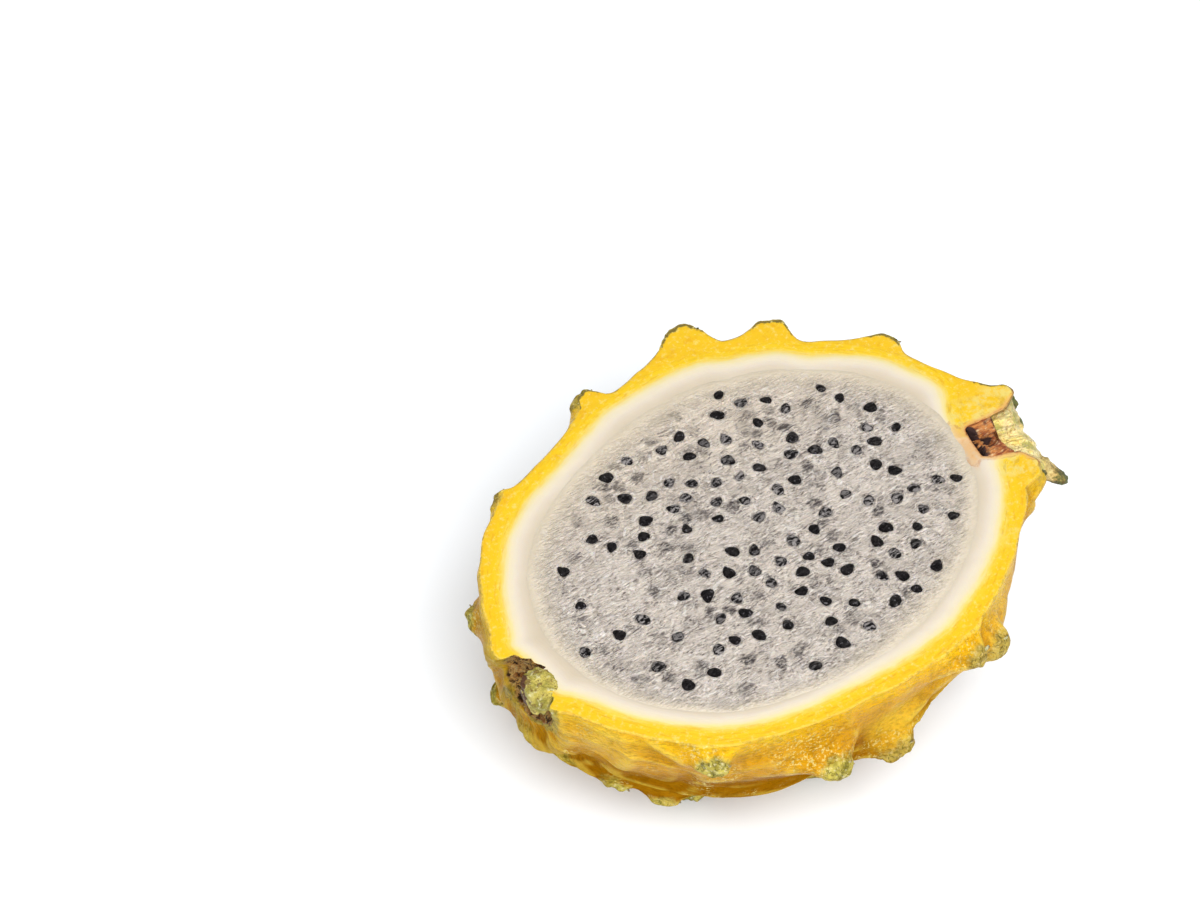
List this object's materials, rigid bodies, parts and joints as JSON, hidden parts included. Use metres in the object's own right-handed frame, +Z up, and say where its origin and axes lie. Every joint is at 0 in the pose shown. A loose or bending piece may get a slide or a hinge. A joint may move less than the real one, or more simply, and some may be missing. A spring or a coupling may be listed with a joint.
{
  "type": "dragon fruit half",
  "caption": "Half of a yellow dragon fruit cut lengthwise: knobbly skin, white pith, grey-white seeded flesh and a dry flower end, lying cut face up.",
  "frame": {"origin": "middle of the flat spot that the half rests on, below the middle of the cut face", "axes": "+X from the stem end to the blossom end, +Z up, out of the cut face"},
  "size_m": [0.1085, 0.0869, 0.0415],
  "materials": {
    "skin": "waxy, lightly wrinkled fruit skin with green scale tips",
    "pith": "moist cream-white pith",
    "flesh": "wet translucent flesh with black seeds",
    "flower_remnant": "dry, brown and fibrous"
  },
  "bodies": {
    "root": {"skin": "skin", "pith": "pith", "flesh": "flesh", "flower_remnant": "flower_remnant"}
  },
  "joints": []
}
